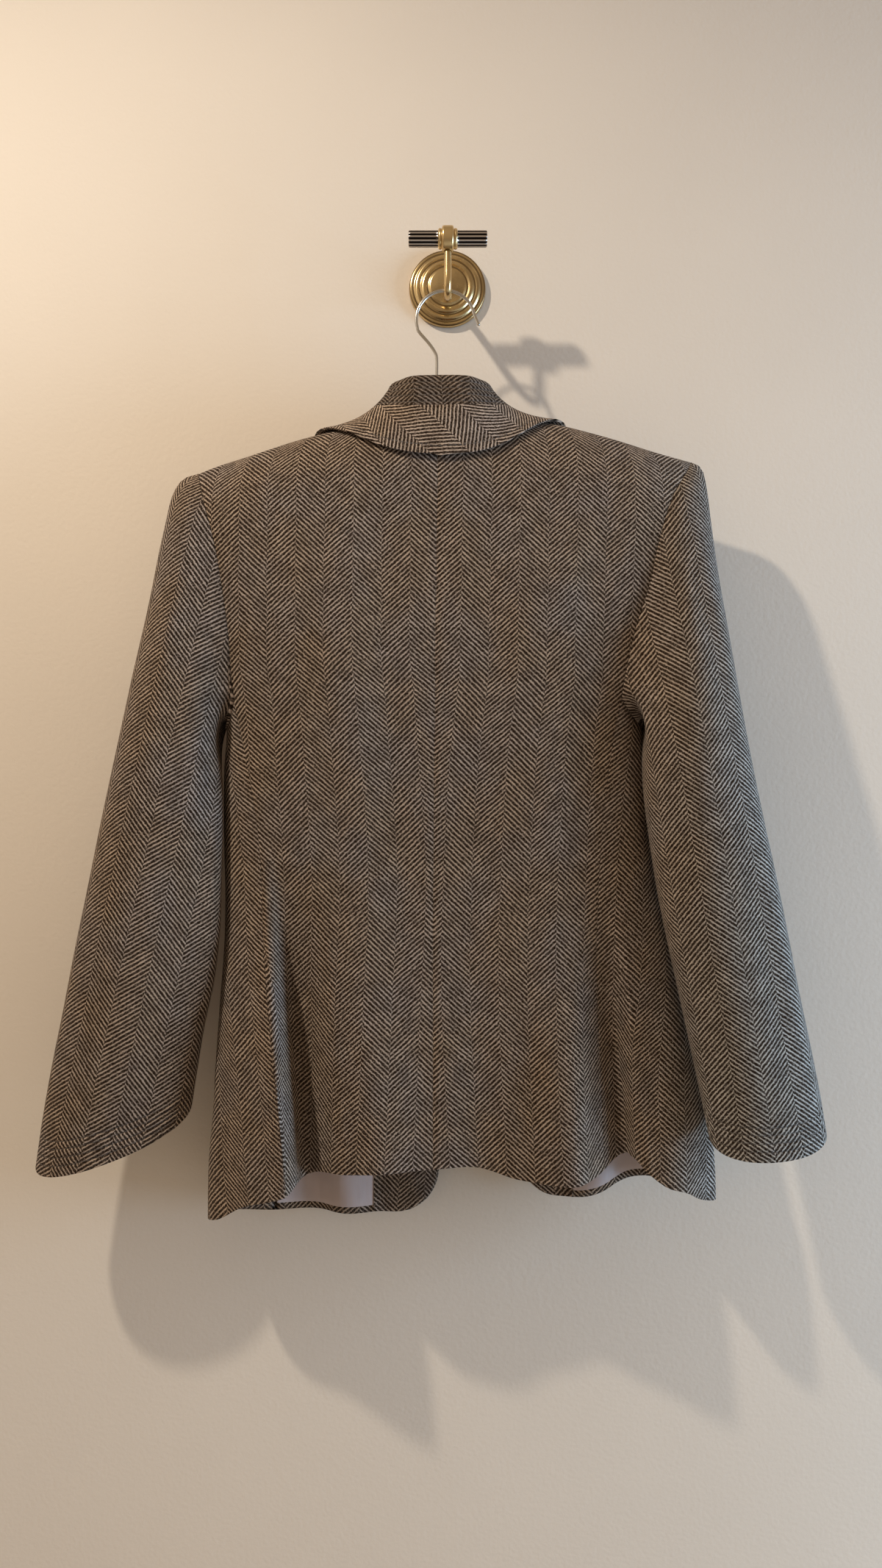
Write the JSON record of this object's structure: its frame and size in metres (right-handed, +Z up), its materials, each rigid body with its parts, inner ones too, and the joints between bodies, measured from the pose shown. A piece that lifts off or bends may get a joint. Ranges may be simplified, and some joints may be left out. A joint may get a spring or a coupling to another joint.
{
  "type": "herringbone jacket on a hanger and wall hook",
  "caption": "Tailored wool jacket in herringbone cloth, hanging back to the room on a wooden hanger from a brass wall hook.",
  "frame": {"origin": "centre of the wall rose's flat back, on the wall", "axes": "+Y into the wall, so the jacket's back faces -Y; +Z up; +X to the wearer's right"},
  "size_m": [0.689, 0.1284, 0.8976],
  "materials": {
    "wool_herringbone": "matt woollen herringbone weave with a short nap",
    "satin_lining": "satin",
    "horn": "polished horn",
    "beech": "varnished",
    "steel_wire": "bright",
    "brass": "polished, aged in its grooves"
  },
  "bodies": {
    "root": {"back_left": "wool_herringbone", "back_right": "wool_herringbone", "side_left": "wool_herringbone", "side_right": "wool_herringbone", "front_left": "wool_herringbone", "front_right": "wool_herringbone", "sleeve_left": "wool_herringbone", "sleeve_right": "wool_herringbone", "collar_band": "wool_herringbone", "collar_fall": "wool_herringbone", "lapel_left": "wool_herringbone", "lapel_right": "wool_herringbone", "facing_left": "wool_herringbone", "facing_right": "wool_herringbone", "lining_left": "satin_lining", "lining_right": "satin_lining", "button_1": "horn", "button_2": "horn", "hanger": "beech", "hanger_hook": "steel_wire", "hook_rose": "brass", "hook_arm": "brass", "hook_bar": "brass"}
  },
  "joints": []
}
